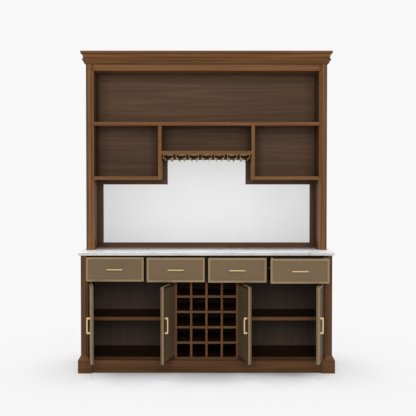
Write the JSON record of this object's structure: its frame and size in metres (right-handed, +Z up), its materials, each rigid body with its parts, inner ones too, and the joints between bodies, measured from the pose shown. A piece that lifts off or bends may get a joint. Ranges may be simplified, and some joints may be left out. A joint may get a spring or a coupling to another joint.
{
  "type": "bar cabinet",
  "caption": "Wide wooden bar cabinet: base with drawers, doors and a bottle lattice under a stone worktop, and a shelved hutch with a mirror and stemware rack.",
  "frame": {"origin": "on the floor, in the middle of the width and of the depth of the base", "axes": "+Z up, front towards -Y, +X to the right of someone facing the front"},
  "size_m": [1.796, 0.7727, 2.264],
  "materials": {
    "walnut": "satin stain with visible grain",
    "walnut_dark": "satin stain with visible grain",
    "drawer_wood": "clear satin",
    "front_panel": "satin lacquer",
    "champagne_trim": "brushed champagne anodise",
    "brass": "satin",
    "steel": "brushed",
    "marble": "polished, faint grey veins",
    "mirror": "silvered"
  },
  "bodies": {
    "carcase": {"base_sides": "walnut", "door_stiles": "walnut", "plinth_blocks": "walnut", "plinth_rails": "walnut", "base_bottom_panel": "walnut_dark", "base_back_panel": "walnut_dark", "bay_partitions": "walnut", "drawer_deck": "walnut_dark", "drawer_dividers": "walnut_dark", "worktop_rails": "walnut_dark", "worktop": "marble", "cupboard_shelves": "walnut", "shelf_pins": "steel", "wine_uprights": "walnut", "wine_shelves": "walnut", "drawer_runners": "steel", "pivot_plates": "steel", "hutch_sides": "walnut", "hutch_side_linings": "walnut", "hutch_back_panel": "walnut", "hutch_top_panel": "walnut", "frieze_rail": "walnut", "crown_moulding": "walnut", "hutch_shelves": "walnut", "cubby_dividers": "walnut", "mirror_frame": "walnut_dark", "mirror_glass": "mirror", "stemware_channels": "brass"},
    "drawer_1": {"drawer_1_box": "drawer_wood", "drawer_1_front": "front_panel", "drawer_1_trim": "champagne_trim", "drawer_1_pull": "brass"},
    "door_1": {"door_1_panel": "front_panel", "door_1_trim": "champagne_trim", "door_1_pull": "brass", "door_1_pivot_pins": "steel"},
    "drawer_2": {"drawer_2_box": "drawer_wood", "drawer_2_front": "front_panel", "drawer_2_trim": "champagne_trim", "drawer_2_pull": "brass"},
    "door_2": {"door_2_panel": "front_panel", "door_2_trim": "champagne_trim", "door_2_pull": "brass", "door_2_pivot_pins": "steel"},
    "drawer_3": {"drawer_3_box": "drawer_wood", "drawer_3_front": "front_panel", "drawer_3_trim": "champagne_trim", "drawer_3_pull": "brass"},
    "door_3": {"door_3_panel": "front_panel", "door_3_trim": "champagne_trim", "door_3_pull": "brass", "door_3_pivot_pins": "steel"},
    "drawer_4": {"drawer_4_box": "drawer_wood", "drawer_4_front": "front_panel", "drawer_4_trim": "champagne_trim", "drawer_4_pull": "brass"},
    "door_4": {"door_4_panel": "front_panel", "door_4_trim": "champagne_trim", "door_4_pull": "brass", "door_4_pivot_pins": "steel"}
  },
  "joints": [
    {"name": "drawer_1_slide", "type": "slide", "parent": "carcase", "child": "drawer_1", "axis": [0, -1, 0], "range_m": [-0.015, 0.305]},
    {"name": "drawer_2_slide", "type": "slide", "parent": "carcase", "child": "drawer_2", "axis": [0, -1, 0], "range_m": [-0.055, 0.265]},
    {"name": "drawer_3_slide", "type": "slide", "parent": "carcase", "child": "drawer_3", "axis": [0, -1, 0], "range_m": [-0.085, 0.235]},
    {"name": "drawer_4_slide", "type": "slide", "parent": "carcase", "child": "drawer_4", "axis": [0, -1, 0], "range_m": [-0.15, 0.17]},
    {"name": "door_1_hinge", "type": "hinge", "parent": "carcase", "child": "door_1", "pos_m": [-0.80699, -0.239, 0.1105], "axis": [0, 0, -1], "range_deg": [-81, 14]},
    {"name": "door_2_hinge", "type": "hinge", "parent": "carcase", "child": "door_2", "pos_m": [-0.233, -0.239, 0.1105], "axis": [0, 0, 1], "range_deg": [-77.3, 17.7]},
    {"name": "door_3_hinge", "type": "hinge", "parent": "carcase", "child": "door_3", "pos_m": [0.233, -0.239, 0.1105], "axis": [0, 0, -1], "range_deg": [-78.5, 16.5]},
    {"name": "door_4_hinge", "type": "hinge", "parent": "carcase", "child": "door_4", "pos_m": [0.80699, -0.239, 0.1105], "axis": [0, 0, 1], "range_deg": [-77, 18]}
  ]
}
